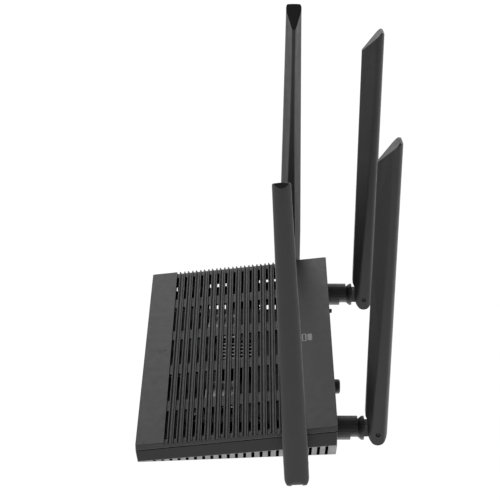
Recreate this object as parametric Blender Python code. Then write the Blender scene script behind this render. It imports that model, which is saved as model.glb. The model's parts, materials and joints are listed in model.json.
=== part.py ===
"""A desktop wireless router with a sloped, ribbed top and four folding antennas.

Metres, +Z up. The front edge faces -Y, the connector wall faces +Y, and right is +X.
The feet stand on z = 0, and x = y = 0 is the middle of the whole object's box.
"""

import math

import bmesh
import bpy
from mathutils import Matrix, Vector

# Case, overall
CASE_WIDTH = 0.230
CASE_DEPTH = 0.142
FRONT_TOP_HEIGHT = 0.0174
REAR_TOP_HEIGHT = 0.035
CASE_FLOOR_HEIGHT = 0.002
CORNER_RADIUS = 0.0012
WALL = 0.002

# Lower side walls: an upright band, a crease that rises to the rear, and a flank below it
CREASE_FRONT_HEIGHT = 0.0033
CREASE_REAR_HEIGHT = 0.0185
FLANK_REAR_INSET = 0.0109
FRONT_LEAN = 0.0016

# Top cover
COVER_BAND = 0.0044
COVER_PLATE = 0.0032
PARTING_GAP = 0.0006
LIP_DEPTH = 0.0015
LIP_WIDTH = 0.0012

# Grille in the top cover
FRONT_STRIP = 0.0200
REAR_STRIP_LEAST = 0.0370
VALLEY_PITCH = 0.0033
HOLE_VALLEY_MOUTH = 0.0021
HOLE_VALLEY_FLOOR = 0.0016
BLIND_VALLEY_MOUTH = 0.0033
BLIND_VALLEY_FLOOR = 0.0014
VALLEY_DEPTH = 0.0018
HOLE_WIDTH = 0.0018
HOLE_LENGTH = 0.0336
HOLE_PERIOD = 0.0460

# Vents in the flanks and the underside
VENT_PITCH = 0.0058
VENT_WIDTH = 0.0021
VENT_FIRST_FROM_REAR = 0.0070
VENT_FRONT_MARGIN = 0.0130
VENT_EDGE = 0.0005
FLOOR_VENTS_SKIPPED_REAR = 5
FLOOR_VENTS_SKIPPED_FRONT = 2
FLOOR_VENT_WIDTH = 0.0016
FLOOR_VENT_LENGTH = 0.0110
FLOOR_VENT_FROM_SIDE = 0.022
RIB_FROM_SIDE = 0.0165
RIB_THICKNESS = 0.0012
RIB_FROM_FRONT = 0.018
RIB_FROM_REAR = 0.0385
RIB_BELOW_COVER = 0.0085

# Fits
SEAT_GAP = 0.0003
TURN_GAP = 0.0003

# Feet
FOOT_RADIUS = 0.0055
FOOT_RECESS = 0.0006
FRONT_FOOT_FROM_SIDE = 0.016
REAR_FOOT_FROM_SIDE = 0.022
FRONT_FOOT_FROM_FRONT = 0.011
REAR_FOOT_FROM_REAR = 0.013

# Case screws
SCREW_FROM_SIDE = 0.034
FRONT_SCREW_FROM_FRONT = 0.0145
REAR_SCREW_FROM_REAR = 0.0160
SCREW_HEAD_RADIUS = 0.0027
SCREW_HEAD_HEIGHT = 0.0017
SCREW_SHANK_RADIUS = 0.0012
SCREW_LENGTH = 0.0095
SCREW_SINK = 0.0025
BOSS_WALL = 0.0014

# Circuit board
BOARD_LEFT_MARGIN = 0.0112
BOARD_RIGHT_MARGIN = 0.0075
BOARD_FRONT_FROM_FRONT = 0.033
BOARD_REAR_GAP = 0.0005
BOARD_THICKNESS = 0.0016
BOARD_HEIGHT = 0.0075
BOARD_TONGUE_WIDTH = 0.040
BOARD_TONGUE_FROM_FRONT = 0.0085
POST_RADIUS = 0.003
POST_FROM_BOARD_SIDE = 0.007
FRONT_POST_FROM_BOARD_EDGE = 0.006
REAR_POST_FROM_REAR = 0.030
BOARD_SCREW_HEAD_RADIUS = 0.0024
BOARD_SCREW_HEAD_HEIGHT = 0.0016
BOARD_SCREW_SHANK_RADIUS = 0.0010
BOARD_SCREW_LENGTH = 0.0042

# Connectors on the rear wall
SOCKET_PITCH = 0.016
SOCKET_BLOCK_HEIGHT = 0.0135
SOCKET_BLOCK_DEPTH = 0.021
SOCKET_WIDTH = 0.0118
SOCKET_HEIGHT = 0.0070
SOCKET_DEPTH = 0.0150
SOCKET_LATCH_WIDTH = 0.0062
SOCKET_LATCH_HEIGHT = 0.0022
SOCKET_TOP_WALL = 0.0016
SOCKET_RECESS = 0.0004
LAN_SOCKETS = 4
WAN_TO_LAN_GAP = 0.0045
POWER_TO_WAN_GAP = 0.0055
LAN_TO_SETUP_GAP = 0.0042
JACK_TO_POWER = 0.022
JACK_WIDTH = 0.009
JACK_HEIGHT = 0.011
JACK_DEPTH = 0.014
JACK_HOLE_RADIUS = 0.0030
JACK_HOLE_DEPTH = 0.0095
JACK_PIN_RADIUS = 0.0010
JACK_PIN_LENGTH = 0.0085

# Push buttons on the rear wall
BUTTON_HEIGHT = 0.017
POWER_X = 0.042
POWER_RADIUS = 0.0054
POWER_PROUD = 0.0052
POWER_TRAVEL = 0.0018
POWER_SWITCH_WIDTH = 0.012
POWER_SWITCH_DEPTH = 0.010
SETUP_RADIUS = 0.0017
SETUP_PROUD = 0.0033
SETUP_TRAVEL = 0.0006
SETUP_SWITCH_WIDTH = 0.0066
SETUP_SWITCH_DEPTH = 0.005
FLANGE_MARGIN = 0.0012
FLANGE_THICKNESS = 0.0012
STEM_RADIUS_SHARE = 0.4
STEM_LENGTH = 0.003

# Status light
LIGHT_FROM_FRONT = 0.0155
LIGHT_RADIUS = 0.0008

# Parts on the board
SINK_SIZE = 0.030
SINK_BASE = 0.002
SINK_HEIGHT = 0.009
SINK_FINS = 7
FIN_THICKNESS = 0.0012
CHIP_SIZE = 0.016
CHIP_HEIGHT = 0.0012
CAN_FROM_MIDDLE = 0.046
CAN_FROM_BOARD_FRONT = 0.026
CAN_WIDTH = 0.034
CAN_DEPTH = 0.024
CAN_HEIGHT = 0.003
CAN_WALL = 0.0004
CAPACITOR_RADIUS = 0.004
CAPACITOR_HEIGHT = 0.011
CAPACITOR_BEHIND_JACK = 0.005
CAPACITOR_STEP_X = 0.011
CAPACITOR_STEP_Y = 0.009
TRANSFORMER_WIDTH = 0.015
TRANSFORMER_DEPTH = 0.0095
TRANSFORMER_HEIGHT = 0.004
TRANSFORMER_TO_SOCKETS = 0.004

# Antenna hinges: distances along the hinge are measured back from the fold pin
REAR_HINGE_FROM_SIDE = 0.0252
REAR_HINGE_HEIGHT = 0.0149
REAR_PIN_REACH = 0.030
SIDE_HINGE_FROM_REAR = 0.029
SIDE_HINGE_HEIGHT = 0.0134
SIDE_PIN_REACH = 0.0255
SIDE_RIGHT_LEAN = 3.34
SIDE_BASE_INSERT = 0.0125
BASE_RADIUS = 0.0087
BASE_BORE_RADIUS = 0.0069
BASE_END = 0.0146
BASE_NOTCH = 0.005
BASE_NOTCH_TOP = 0.0015
BASE_FLANGE_RADIUS = 0.0094
BASE_FLANGE = 0.0015
LEAD_HOLE_RADIUS = 0.0016
COLLAR_CONE_START = 0.0141
COLLAR_RIM_START = 0.0115
COLLAR_RIM_END = 0.0099
COLLAR_NECK_END = 0.0096
COLLAR_NECK_RADIUS = 0.0062
SPIGOT_LENGTH = 0.0097
TONGUE_WIDTH = 0.007
TONGUE_RADIUS = 0.0052
PIN_RADIUS = 0.00145
PIN_RECESS = 0.0004

# Antenna blades: x across, y outwards and z upwards from the fold pin
BLADE_LENGTH = 0.2306
BLADE_BASE_WIDTH = 0.0172
BLADE_TIP_WIDTH = 0.0118
BLADE_TAPER_START = 0.033
BLADE_OUTER = 0.0071
BLADE_INNER = 0.00925
BLADE_TIP_DROP = 0.0158
BLADE_TIP_CORNER = 0.0030
BLADE_TIP_ROUND = 0.0019
BLADE_TIP_CROWN = 0.0003
BLADE_EDGE = 0.0015
BLADE_CROWN = 0.0040
BLADE_HEEL_REACH = 0.0093
BLADE_HEEL_ROUND = 0.0088
BLADE_RIDGE_BASE = 0.0040
BLADE_RIDGE_TIP = 0.0012
BLADE_FLAT_BASE = -0.0034
BLADE_FLAT_TIP = 0.0013
BLADE_HEEL_LOW = 0.0090
BLADE_HEEL_HIGH = 0.0130
SLOT_CLEARANCE = 0.0004
ELEMENT_CHANNEL_RADIUS = 0.0026
ELEMENT_CHANNEL_TOP = 0.125
ELEMENT_SLEEVE_RADIUS = 0.0022
ELEMENT_ROD_RADIUS = 0.0008
ELEMENT_SLEEVE_LENGTH = 0.055

# Coaxial leads inside the case
LEAD_RADIUS = 0.0007
LEAD_POINTS = 14
LEAD_ON_BOARD = 0.010
LEAD_OFF_BOARD = 0.006
LEAD_STRAIGHT = 0.022
LEAD_RISE = 0.004
LEAD_FLAT = 0.006
REAR_LEAD_BACK = 0.045
SIDE_LEAD_BACK = 0.055

ROUND = 24
SMALL_ROUND = 16
SPECK = 0.000002

# Worked out from the values above
HALF_WIDTH = CASE_WIDTH / 2
DEPTH_OVERALL = CASE_DEPTH + REAR_PIN_REACH + BLADE_OUTER
FRONT_Y = -DEPTH_OVERALL / 2
REAR_Y = FRONT_Y + CASE_DEPTH
TOP_SLOPE = (REAR_TOP_HEIGHT - FRONT_TOP_HEIGHT) / CASE_DEPTH
TOP_NORMAL = Vector((0, -TOP_SLOPE, 1)).normalized()
INNER_REAR_Y = REAR_Y - WALL
FLOOR_TOP = CASE_FLOOR_HEIGHT + WALL
BOARD_TOP = BOARD_HEIGHT + BOARD_THICKNESS
BOARD_FRONT_Y = FRONT_Y + BOARD_FRONT_FROM_FRONT
BOARD_REAR_Y = INNER_REAR_Y - BOARD_REAR_GAP
WAN_BLOCK_X = POWER_X - POWER_SWITCH_WIDTH / 2 - POWER_TO_WAN_GAP - SOCKET_PITCH / 2
LAN_BLOCK_WIDTH = LAN_SOCKETS * SOCKET_PITCH
LAN_BLOCK_X = WAN_BLOCK_X - SOCKET_PITCH / 2 - WAN_TO_LAN_GAP - LAN_BLOCK_WIDTH / 2
SETUP_X = LAN_BLOCK_X - LAN_BLOCK_WIDTH / 2 - LAN_TO_SETUP_GAP - SETUP_SWITCH_WIDTH / 2
JACK_X = POWER_X + JACK_TO_POWER
BOARD_LEFT_X = SETUP_X - SETUP_SWITCH_WIDTH / 2 - BOARD_LEFT_MARGIN
BOARD_RIGHT_X = JACK_X + JACK_WIDTH / 2 + BOARD_RIGHT_MARGIN
TRANSFORMER_Y = (
    REAR_Y - SOCKET_RECESS - SOCKET_BLOCK_DEPTH - TRANSFORMER_TO_SOCKETS - TRANSFORMER_DEPTH / 2
)
SINK_Y = (BOARD_FRONT_Y + TRANSFORMER_Y - TRANSFORMER_DEPTH / 2) / 2
GRILLE_DEPTH = CASE_DEPTH - FRONT_STRIP - REAR_STRIP_LEAST
VALLEY_COUNT = int((GRILLE_DEPTH - HOLE_VALLEY_MOUTH) / VALLEY_PITCH) + 1
HOLES_PER_VALLEY = int(CASE_WIDTH / HOLE_PERIOD + 0.01)
VENT_COUNT = int((CASE_DEPTH - VENT_FIRST_FROM_REAR - VENT_FRONT_MARGIN) / VENT_PITCH) + 1
SIDE_HINGE_Y = REAR_Y - SIDE_HINGE_FROM_REAR
PART_BASE = BOARD_TOP + SEAT_GAP
FAR = 0.4


def clear_scene():
    for old in list(bpy.data.objects):
        bpy.data.objects.remove(old)


def plastic(name, colour, roughness=0.6, metallic=0.0):
    """A Principled material with one colour, roughness and metallic value."""
    made = bpy.data.materials.new(name)
    made.use_nodes = True
    shader = made.node_tree.nodes["Principled BSDF"]
    shader.inputs["Base Color"].default_value = (*colour, 1.0)
    shader.inputs["Roughness"].default_value = roughness
    shader.inputs["Metallic"].default_value = metallic
    return made


def top_height(y, drop=0.0):
    """Height of the sloped top plane at y, lowered by drop."""
    return FRONT_TOP_HEIGHT + (y - FRONT_Y) * TOP_SLOPE - drop


def crease_height(y):
    """Height of the crease between the upright side wall and the flank."""
    share = (y - FRONT_Y) / CASE_DEPTH
    return CREASE_FRONT_HEIGHT + share * (CREASE_REAR_HEIGHT - CREASE_FRONT_HEIGHT)


# ---------------------------------------------------------------- shapes

def box(low, high):
    shape = bmesh.new()
    bmesh.ops.create_cube(shape, size=1.0)
    size = Vector(high) - Vector(low)
    middle = (Vector(high) + Vector(low)) / 2
    bmesh.ops.scale(shape, vec=size, verts=shape.verts)
    bmesh.ops.translate(shape, vec=middle, verts=shape.verts)
    return shape


def bevelled_box(low, high, width):
    shape = box(low, high)
    bmesh.ops.bevel(shape, geom=shape.edges[:], offset=width, affect="EDGES", segments=1, profile=0.5)
    return shape


def prism(outline, axis, start, end):
    """Extrude a closed outline along X, Y or Z. Its points are the two other axes, in order."""
    shape = bmesh.new()
    corners = []
    for a, b in outline:
        point = {"X": (start, a, b), "Y": (a, start, b), "Z": (a, b, start)}[axis]
        corners.append(shape.verts.new(point))
    face = shape.faces.new(corners)
    shift = {"X": (end - start, 0, 0), "Y": (0, end - start, 0), "Z": (0, 0, end - start)}[axis]
    grown = bmesh.ops.extrude_face_region(shape, geom=[face])
    moved = [item for item in grown["geom"] if isinstance(item, bmesh.types.BMVert)]
    bmesh.ops.translate(shape, vec=shift, verts=moved)
    bmesh.ops.recalc_face_normals(shape, faces=shape.faces)
    return shape


def turned(profile, segments, ring=False):
    """Turn (radius, y) points about the Y axis. A ring's outline closes without touching the axis."""
    shape = bmesh.new()
    points = [shape.verts.new((radius, y, 0)) for radius, y in profile]
    edges = [shape.edges.new(pair) for pair in zip(points, points[1:])]
    if ring:
        edges.append(shape.edges.new((points[-1], points[0])))
    bmesh.ops.spin(
        shape, geom=points + edges, cent=(0, 0, 0), axis=(0, 1, 0), angle=2 * math.pi,
        steps=segments, use_merge=True,
    )
    bmesh.ops.remove_doubles(shape, verts=shape.verts, dist=1e-7)
    bmesh.ops.recalc_face_normals(shape, faces=shape.faces)
    return shape


def rod(radius, start, end, segments=ROUND):
    """A solid round bar along Y."""
    return turned([(0, start), (radius, start), (radius, end), (0, end)], segments)


def placed(shape, where=(0, 0, 0), turn=None):
    """Turn a shape about the origin and then move it."""
    if turn is not None:
        bmesh.ops.transform(shape, matrix=turn, verts=shape.verts)
    bmesh.ops.translate(shape, vec=where, verts=shape.verts)
    return shape


def upright(shape):
    """Turn a shape made along Y so that it stands along Z."""
    return placed(shape, turn=Matrix.Rotation(math.pi / 2, 4, "X"))


def across(shape):
    """Turn a shape made along Y so that it lies along X."""
    return placed(shape, turn=Matrix.Rotation(-math.pi / 2, 4, "Z"))


def merged(shapes):
    """Put several closed shapes, clear of each other, into one mesh."""
    whole = bmesh.new()
    for shape in shapes:
        scratch = bpy.data.meshes.new("scratch")
        shape.to_mesh(scratch)
        shape.free()
        whole.from_mesh(scratch)
        bpy.data.meshes.remove(scratch)
    return whole


def slice_off(shape, point, normal):
    """Cut away what lies on the normal's side of a plane, and close the cut."""
    everything = shape.verts[:] + shape.edges[:] + shape.faces[:]
    cut = bmesh.ops.bisect_plane(
        shape, geom=everything, dist=1e-8, plane_co=point, plane_no=normal, clear_outer=True
    )
    rim = [item for item in cut["geom_cut"] if isinstance(item, bmesh.types.BMEdge)]
    bmesh.ops.contextual_create(shape, geom=rim)
    bmesh.ops.recalc_face_normals(shape, faces=shape.faces)


def to_object(name, shape, material=None):
    mesh = bpy.data.meshes.new(name)
    shape.to_mesh(mesh)
    shape.free()
    made = bpy.data.objects.new(name, mesh)
    bpy.context.scene.collection.objects.link(made)
    if material is not None:
        mesh.materials.append(material)
    return made


def close_specks(mesh):
    """Merge corners that lie closer together than a speck, so that the next cut starts clean."""
    shape = bmesh.new()
    shape.from_mesh(mesh)
    bmesh.ops.remove_doubles(shape, verts=shape.verts, dist=SPECK)
    bmesh.ops.dissolve_degenerate(shape, dist=SPECK / 10, edges=shape.edges)
    shape.to_mesh(mesh)
    shape.free()


def combine(body, shape, operation):
    """Cut a shape from a body, or join or intersect the two, and keep the result as the body's mesh."""
    tool = to_object("tool", shape)
    step = body.modifiers.new("step", "BOOLEAN")
    step.operation = operation
    step.solver = "EXACT"
    step.object = tool
    bpy.context.view_layer.update()
    result = bpy.data.meshes.new_from_object(
        body.evaluated_get(bpy.context.evaluated_depsgraph_get())
    )
    body.modifiers.clear()
    close_specks(result)
    old = body.data
    name = old.name
    body.data = result
    bpy.data.meshes.remove(old)
    result.name = name
    bpy.data.objects.remove(tool)


def cut(body, *shapes):
    for shape in shapes:
        combine(body, shape, "DIFFERENCE")


def join(body, *shapes):
    for shape in shapes:
        combine(body, shape, "UNION")


def smooth(body, degrees=35):
    body.data.shade_smooth()
    body.data.set_sharp_from_angle(angle=math.radians(degrees))


# ---------------------------------------------------------------- case

def case_block(inset, top_drop):
    """The case's outer form down to below the feet, drawn in by inset and lowered by top_drop."""
    reach = HALF_WIDTH - inset
    shape = box((-reach, FRONT_Y + inset, -FAR), (reach, REAR_Y - inset, FAR))
    upright_edges = [
        edge for edge in shape.edges if abs((edge.verts[0].co - edge.verts[1].co).z) > FAR
    ]
    radius = max(CORNER_RADIUS - inset, SEAT_GAP)
    bmesh.ops.bevel(
        shape, geom=upright_edges, offset=radius, affect="EDGES", segments=3, profile=0.5
    )
    slice_off(shape, (0, FRONT_Y, top_height(FRONT_Y, top_drop)), TOP_NORMAL)
    return shape


def trim_below(shape, drop):
    """Keep what lies above the top plane lowered by drop."""
    slice_off(shape, (0, FRONT_Y, top_height(FRONT_Y, drop)), -TOP_NORMAL)
    return shape


def flank_plane(side):
    """A point on a flank and the flank's outward direction."""
    crease_front = Vector((HALF_WIDTH, FRONT_Y, CREASE_FRONT_HEIGHT))
    crease_rear = Vector((HALF_WIDTH, REAR_Y, CREASE_REAR_HEIGHT))
    low_rear = Vector((HALF_WIDTH - FLANK_REAR_INSET, REAR_Y, CASE_FLOOR_HEIGHT))
    normal = (crease_rear - crease_front).cross(low_rear - crease_rear).normalized()
    if normal.x < 0:
        normal.negate()
    mirror = Vector((side, 1, 1))
    return crease_front * mirror, normal * mirror


def front_plane():
    """A point on the leaning front wall and its outward direction."""
    high = Vector((0, FRONT_Y, top_height(FRONT_Y, COVER_BAND)))
    fall = Vector((0, FRONT_LEAN, CASE_FLOOR_HEIGHT - high.z))
    normal = Vector((0, fall.z, -fall.y)).normalized()
    return high, normal


def tray_block(inset, top_drop):
    """The lower case's form, drawn in by inset on every side but its top."""
    shape = case_block(inset, top_drop)
    slice_off(shape, (0, 0, CASE_FLOOR_HEIGHT + inset), (0, 0, -1))
    for side in (-1, 1):
        point, normal = flank_plane(side)
        slice_off(shape, point - normal * inset, normal)
    point, normal = front_plane()
    slice_off(shape, point - normal * inset, normal)
    return shape


def valley_middle(number):
    return FRONT_Y + FRONT_STRIP + HOLE_VALLEY_MOUTH / 2 + number * VALLEY_PITCH


def tilt_to_top():
    return Matrix.Rotation(math.atan(TOP_SLOPE), 4, "X")


def grille_valleys():
    """Grooves that run across the whole cover: narrow ones for the holes, wide blind ones between."""
    kinds = ((HOLE_VALLEY_MOUTH, HOLE_VALLEY_FLOOR), (BLIND_VALLEY_MOUTH, BLIND_VALLEY_FLOOR))
    lift = 0.001
    valleys = []
    for number in range(VALLEY_COUNT):
        mouth, floor = kinds[number % 2]
        flare = (mouth - floor) / 2 * (1 + lift / VALLEY_DEPTH)
        outline = [
            (-floor / 2, -VALLEY_DEPTH),
            (floor / 2, -VALLEY_DEPTH),
            (floor / 2 + flare, lift),
            (-floor / 2 - flare, lift),
        ]
        groove = prism(outline, "X", -HALF_WIDTH - 0.005, HALF_WIDTH + 0.005)
        y = valley_middle(number)
        valleys.append(placed(groove, (0, y, top_height(y)), tilt_to_top()))
    return merged(valleys)


def grille_holes():
    """Long holes through every second valley, in rows that line up across the cover."""
    holes = []
    for number in range(0, VALLEY_COUNT, 2):
        y = valley_middle(number)
        for place in range(HOLES_PER_VALLEY):
            x = (place - (HOLES_PER_VALLEY - 1) / 2) * HOLE_PERIOD
            half = Vector((HOLE_LENGTH / 2, HOLE_WIDTH / 2, COVER_PLATE * 2))
            holes.append(placed(box(-half, half), (x, y, top_height(y)), tilt_to_top()))
    return merged(holes)


def screw_places():
    front = FRONT_Y + FRONT_SCREW_FROM_FRONT
    rear = REAR_Y - REAR_SCREW_FROM_REAR
    x = HALF_WIDTH - SCREW_FROM_SIDE
    return {
        "front_left": (-x, front),
        "front_right": (x, front),
        "rear_left": (-x, rear),
        "rear_right": (x, rear),
    }


def screw_boss_top():
    """Height where a case screw's boss on the floor meets the cover's boss."""
    return CASE_FLOOR_HEIGHT + SCREW_SINK + SCREW_HEAD_HEIGHT + SEAT_GAP + BOSS_WALL


def make_top_cover(material):
    cover = to_object("top_cover", trim_below(case_block(0, 0), COVER_BAND), material)
    lip_inset = WALL + 2 * SEAT_GAP
    join(cover, trim_below(case_block(lip_inset, COVER_PLATE / 2), COVER_BAND + LIP_DEPTH))
    cut(cover, case_block(lip_inset + LIP_WIDTH, COVER_PLATE))
    bosses = []
    bores = []
    for x, y in screw_places().values():
        low = screw_boss_top() + SEAT_GAP
        high = top_height(y, COVER_PLATE - 0.0008)
        boss = upright(rod(SCREW_SHANK_RADIUS + SEAT_GAP + BOSS_WALL, low, high, SMALL_ROUND))
        bosses.append(placed(boss, (x, y, 0)))
        bore_top = CASE_FLOOR_HEIGHT + SCREW_SINK + SCREW_LENGTH + SEAT_GAP
        bore = upright(rod(SCREW_SHANK_RADIUS + SEAT_GAP, low - 0.001, bore_top, SMALL_ROUND))
        bores.append(placed(bore, (x, y, 0)))
    join(cover, merged(bosses))
    cut(cover, merged(bores), grille_valleys(), grille_holes())
    light = upright(rod(LIGHT_RADIUS + SEAT_GAP, 0, FAR, SMALL_ROUND))
    cut(cover, placed(light, (0, FRONT_Y + LIGHT_FROM_FRONT, 0)))
    return cover


def flank_vents(side):
    """Slots through a flank, square to it and nearly as tall as it is."""
    slots = []
    point, normal = flank_plane(side)
    for number in range(VENT_COUNT):
        y = REAR_Y - VENT_FIRST_FROM_REAR - number * VENT_PITCH
        high = Vector((side * HALF_WIDTH, y, crease_height(y)))
        along = Vector((normal.z, 0, -normal.x))
        if along.z > 0:
            along.negate()
        along.normalize()
        length = (high.z - CASE_FLOOR_HEIGHT) / -along.z
        outward = Vector((normal.x, 0, normal.z)).normalized()
        upper = high + along * VENT_EDGE
        lower = high + along * (length - VENT_EDGE)
        corners = [
            upper + outward * WALL, lower + outward * WALL,
            lower - outward * WALL * 1.6, upper - outward * WALL * 1.6,
        ]
        outline = [(corner.x, corner.z) for corner in corners]
        slots.append(prism(outline, "Y", y - VENT_WIDTH / 2, y + VENT_WIDTH / 2))
    return merged(slots)


def floor_vents():
    """Slots through the underside, in line with the flank slots."""
    slots = []
    for side in (-1, 1):
        for number in range(FLOOR_VENTS_SKIPPED_REAR, VENT_COUNT - FLOOR_VENTS_SKIPPED_FRONT):
            y = REAR_Y - VENT_FIRST_FROM_REAR - number * VENT_PITCH
            outer = HALF_WIDTH - FLOOR_VENT_FROM_SIDE
            ends = sorted((side * outer, side * (outer - FLOOR_VENT_LENGTH)))
            low = (ends[0], y - FLOOR_VENT_WIDTH / 2, 0)
            high = (ends[1], y + FLOOR_VENT_WIDTH / 2, FLOOR_TOP + WALL)
            slots.append(box(low, high))
    return merged(slots)


def inner_ribs():
    """A stiffening wall along each side that also screens the vents."""
    front = FRONT_Y + RIB_FROM_FRONT
    rear = REAR_Y - RIB_FROM_REAR
    low = FLOOR_TOP - WALL / 2
    outline = [
        (front, low), (rear, low),
        (rear, top_height(rear) - RIB_BELOW_COVER), (front, top_height(front) - RIB_BELOW_COVER),
    ]
    ribs = []
    for side in (-1, 1):
        middle = side * (HALF_WIDTH - RIB_FROM_SIDE)
        ribs.append(prism(outline, "X", middle - RIB_THICKNESS / 2, middle + RIB_THICKNESS / 2))
    return merged(ribs)


def foot_places():
    front = FRONT_Y + FRONT_FOOT_FROM_FRONT
    rear = REAR_Y - REAR_FOOT_FROM_REAR
    front_x = HALF_WIDTH - FRONT_FOOT_FROM_SIDE
    rear_x = HALF_WIDTH - REAR_FOOT_FROM_SIDE
    return {
        "front_left": (-front_x, front),
        "front_right": (front_x, front),
        "rear_left": (-rear_x, rear),
        "rear_right": (rear_x, rear),
    }


def post_places():
    front = BOARD_FRONT_Y + FRONT_POST_FROM_BOARD_EDGE
    rear = REAR_Y - REAR_POST_FROM_REAR
    left = BOARD_LEFT_X + POST_FROM_BOARD_SIDE
    right = BOARD_RIGHT_X - POST_FROM_BOARD_SIDE
    return {
        "front_left": (left, front),
        "front_right": (right, front),
        "rear_left": (left, rear),
        "rear_right": (right, rear),
    }


def hinge_places():
    """Each hinge: where its axis meets the wall, its turn about Z, its reach and its insert."""
    rear_insert = WALL + SEAT_GAP
    rear_x = HALF_WIDTH - REAR_HINGE_FROM_SIDE
    return {
        "rear_left": ((-rear_x, REAR_Y, REAR_HINGE_HEIGHT), 0, REAR_PIN_REACH, rear_insert),
        "rear_right": ((rear_x, REAR_Y, REAR_HINGE_HEIGHT), 0, REAR_PIN_REACH, rear_insert),
        "side_left": (
            (-HALF_WIDTH, SIDE_HINGE_Y, SIDE_HINGE_HEIGHT), 90, SIDE_PIN_REACH, SIDE_BASE_INSERT
        ),
        "side_right": (
            (HALF_WIDTH, SIDE_HINGE_Y, SIDE_HINGE_HEIGHT), -90, SIDE_PIN_REACH, SIDE_BASE_INSERT
        ),
    }


def hinge_turn(degrees):
    return Matrix.Rotation(math.radians(degrees), 4, "Z")


def socket_front():
    """Y of the connectors' faces, just inside the rear wall's outer face."""
    return REAR_Y - SOCKET_RECESS


def wall_window(x, width, height):
    """A cutter through the rear wall around a block that stands on the board."""
    low = (x - width / 2 - SEAT_GAP, INNER_REAR_Y - WALL, PART_BASE - SEAT_GAP)
    high = (x + width / 2 + SEAT_GAP, REAR_Y + WALL, PART_BASE + height + SEAT_GAP)
    return box(low, high)


def make_bottom_case(material):
    tray = to_object("bottom_case", tray_block(0, COVER_BAND + PARTING_GAP), material)
    cut(tray, tray_block(WALL, 0))
    cut(tray, merged([flank_vents(-1), flank_vents(1)]), floor_vents())
    bosses = []
    for x, y in screw_places().values():
        radius = SCREW_HEAD_RADIUS + SEAT_GAP + BOSS_WALL
        boss = upright(rod(radius, FLOOR_TOP - 0.001, screw_boss_top(), SMALL_ROUND))
        bosses.append(placed(boss, (x, y, 0)))
    for x, y in post_places().values():
        post = upright(rod(POST_RADIUS, FLOOR_TOP - 0.001, BOARD_HEIGHT - SEAT_GAP, SMALL_ROUND))
        bosses.append(placed(post, (x, y, 0)))
    join(tray, merged(bosses))
    join(tray, inner_ribs())
    sinks = []
    bores = []
    for x, y in screw_places().values():
        top = CASE_FLOOR_HEIGHT + SCREW_SINK + SCREW_HEAD_HEIGHT + SEAT_GAP
        sink = upright(rod(SCREW_HEAD_RADIUS + SEAT_GAP, 0, top, SMALL_ROUND))
        sinks.append(placed(sink, (x, y, 0)))
        bore = upright(rod(SCREW_SHANK_RADIUS + SEAT_GAP, top - 0.001, FAR / 8, SMALL_ROUND))
        bores.append(placed(bore, (x, y, 0)))
    for x, y in post_places().values():
        bore = upright(rod(BOARD_SCREW_SHANK_RADIUS + SEAT_GAP, FLOOR_TOP, FAR / 8, SMALL_ROUND))
        bores.append(placed(bore, (x, y, 0)))
    for x, y in foot_places().values():
        recess = upright(rod(FOOT_RADIUS + SEAT_GAP, 0, CASE_FLOOR_HEIGHT + FOOT_RECESS, ROUND))
        sinks.append(placed(recess, (x, y, 0)))
    cut(tray, merged(sinks), merged(bores))
    windows = [
        wall_window(LAN_BLOCK_X, LAN_BLOCK_WIDTH, SOCKET_BLOCK_HEIGHT),
        wall_window(WAN_BLOCK_X, SOCKET_PITCH, SOCKET_BLOCK_HEIGHT),
        wall_window(JACK_X, JACK_WIDTH, JACK_HEIGHT),
    ]
    for x, radius in ((POWER_X, POWER_RADIUS), (SETUP_X, SETUP_RADIUS)):
        hole = rod(radius + SEAT_GAP, INNER_REAR_Y - WALL, REAR_Y + WALL)
        windows.append(placed(hole, (x, 0, BUTTON_HEIGHT)))
    for where, degrees, reach, insert in hinge_places().values():
        hole = rod(BASE_RADIUS + SEAT_GAP, -insert - BASE_FLANGE, WALL)
        windows.append(placed(hole, where, hinge_turn(degrees)))
    cut(tray, merged(windows))
    return tray


def make_feet(material):
    for name, (x, y) in foot_places().items():
        height = CASE_FLOOR_HEIGHT + FOOT_RECESS - SEAT_GAP
        profile = [
            (0, 0), (FOOT_RADIUS - 0.0004, 0), (FOOT_RADIUS, 0.0004),
            (FOOT_RADIUS, height), (0, height),
        ]
        foot = to_object(f"foot_{name}", upright(turned(profile, ROUND)), material)
        foot.location = (x, y, 0)
        smooth(foot)


def make_screw(name, x, y, head_low, head, shank, material, pointing):
    """A round-headed screw. head and shank are (radius, length); pointing is 1 up or -1 down."""
    profile = [
        (0, 0), (head[0] * 0.8, 0), (head[0], head[1] * 0.45), (head[0], head[1]),
        (shank[0], head[1]), (shank[0], shank[1] - shank[0]), (0, shank[1]),
    ]
    screw = to_object(name, upright(turned(profile, SMALL_ROUND)), material)
    if pointing < 0:
        flip = Matrix.Rotation(math.pi, 4, "X")
        screw.data.transform(flip)
    screw.location = (x, y, head_low)
    smooth(screw)


def make_case_screws(material):
    for name, (x, y) in screw_places().items():
        make_screw(
            f"case_screw_{name}", x, y, CASE_FLOOR_HEIGHT + SCREW_SINK,
            (SCREW_HEAD_RADIUS, SCREW_HEAD_HEIGHT), (SCREW_SHANK_RADIUS, SCREW_LENGTH),
            material, 1,
        )


# ---------------------------------------------------------------- electronics

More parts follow.
